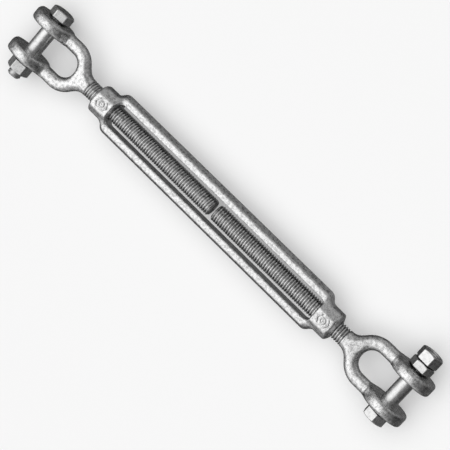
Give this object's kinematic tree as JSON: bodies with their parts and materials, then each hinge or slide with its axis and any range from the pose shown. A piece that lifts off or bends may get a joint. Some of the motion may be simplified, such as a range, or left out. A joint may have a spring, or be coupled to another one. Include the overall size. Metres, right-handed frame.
{
  "type": "rigging turnbuckle",
  "caption": "Jaw-and-jaw turnbuckle: an open forged frame with opposite threads draws its forked rod ends together to tension rigging, each fork closed by a bolt and nut.",
  "frame": {"origin": "middle of the frame's window on the screw axis", "axes": "+X along the screw axis towards the right-hand-threaded jaw, +Y along the jaw bolts, +Z out of the plane of the frame"},
  "size_m": [0.2934, 0.0515, 0.0252],
  "materials": {
    "frame_zinc": "hot-dip galvanised forging, satin with a mottled grain",
    "jaw_zinc": "hot-dip galvanised forging, satin with a mottled grain",
    "bolt_zinc": "zinc-plated steel, bright satin",
    "nut_zinc": "zinc-plated steel, bright satin"
  },
  "bodies": {
    "frame": {"frame": "frame_zinc"},
    "right_jaw": {"right_jaw": "jaw_zinc"},
    "left_jaw": {"left_jaw": "jaw_zinc"},
    "right_bolt": {"right_bolt": "bolt_zinc"},
    "left_bolt": {"left_bolt": "bolt_zinc"},
    "left_nut": {"left_nut": "nut_zinc"},
    "right_inner_nut": {"right_inner_nut": "nut_zinc"},
    "right_outer_nut": {"right_outer_nut": "nut_zinc"}
  },
  "joints": [
    {"name": "right_jaw_screw", "type": "slide", "parent": "frame", "child": "right_jaw", "axis": [1, 0, 0], "range_m": [-0.001, 0.075]},
    {"name": "left_jaw_screw", "type": "slide", "parent": "frame", "child": "left_jaw", "axis": [-1, 0, 0], "range_m": [-0.001, 0.075]},
    {"name": "right_bolt_turn", "type": "hinge", "parent": "right_jaw", "child": "right_bolt", "pos_m": [0.1341, 0, 0], "axis": [0, -1, 0], "range_deg": [0, 1260]},
    {"name": "right_inner_nut_run", "type": "slide", "parent": "right_jaw", "child": "right_inner_nut", "axis": [0, 1, 0], "range_m": [0, 0.0044]},
    {"name": "right_outer_nut_run", "type": "slide", "parent": "right_jaw", "child": "right_outer_nut", "axis": [0, 1, 0], "range_m": [0, 0.0044]},
    {"name": "left_bolt_turn", "type": "hinge", "parent": "left_jaw", "child": "left_bolt", "pos_m": [-0.1341, 0, 0], "axis": [0, 1, 0], "range_deg": [0, 2700]},
    {"name": "left_nut_run", "type": "slide", "parent": "left_jaw", "child": "left_nut", "axis": [0, -1, 0], "range_m": [0, 0.0094]}
  ],
  "couplings": [
    {"joint": "left_jaw_screw", "follows": "right_jaw_screw", "ratio": 1},
    {"joint": "right_inner_nut_run", "follows": "right_bolt_turn", "m_per_rad": 0.00019894},
    {"joint": "right_outer_nut_run", "follows": "right_bolt_turn", "m_per_rad": 0.00019894},
    {"joint": "left_nut_run", "follows": "left_bolt_turn", "m_per_rad": 0.00019894}
  ]
}
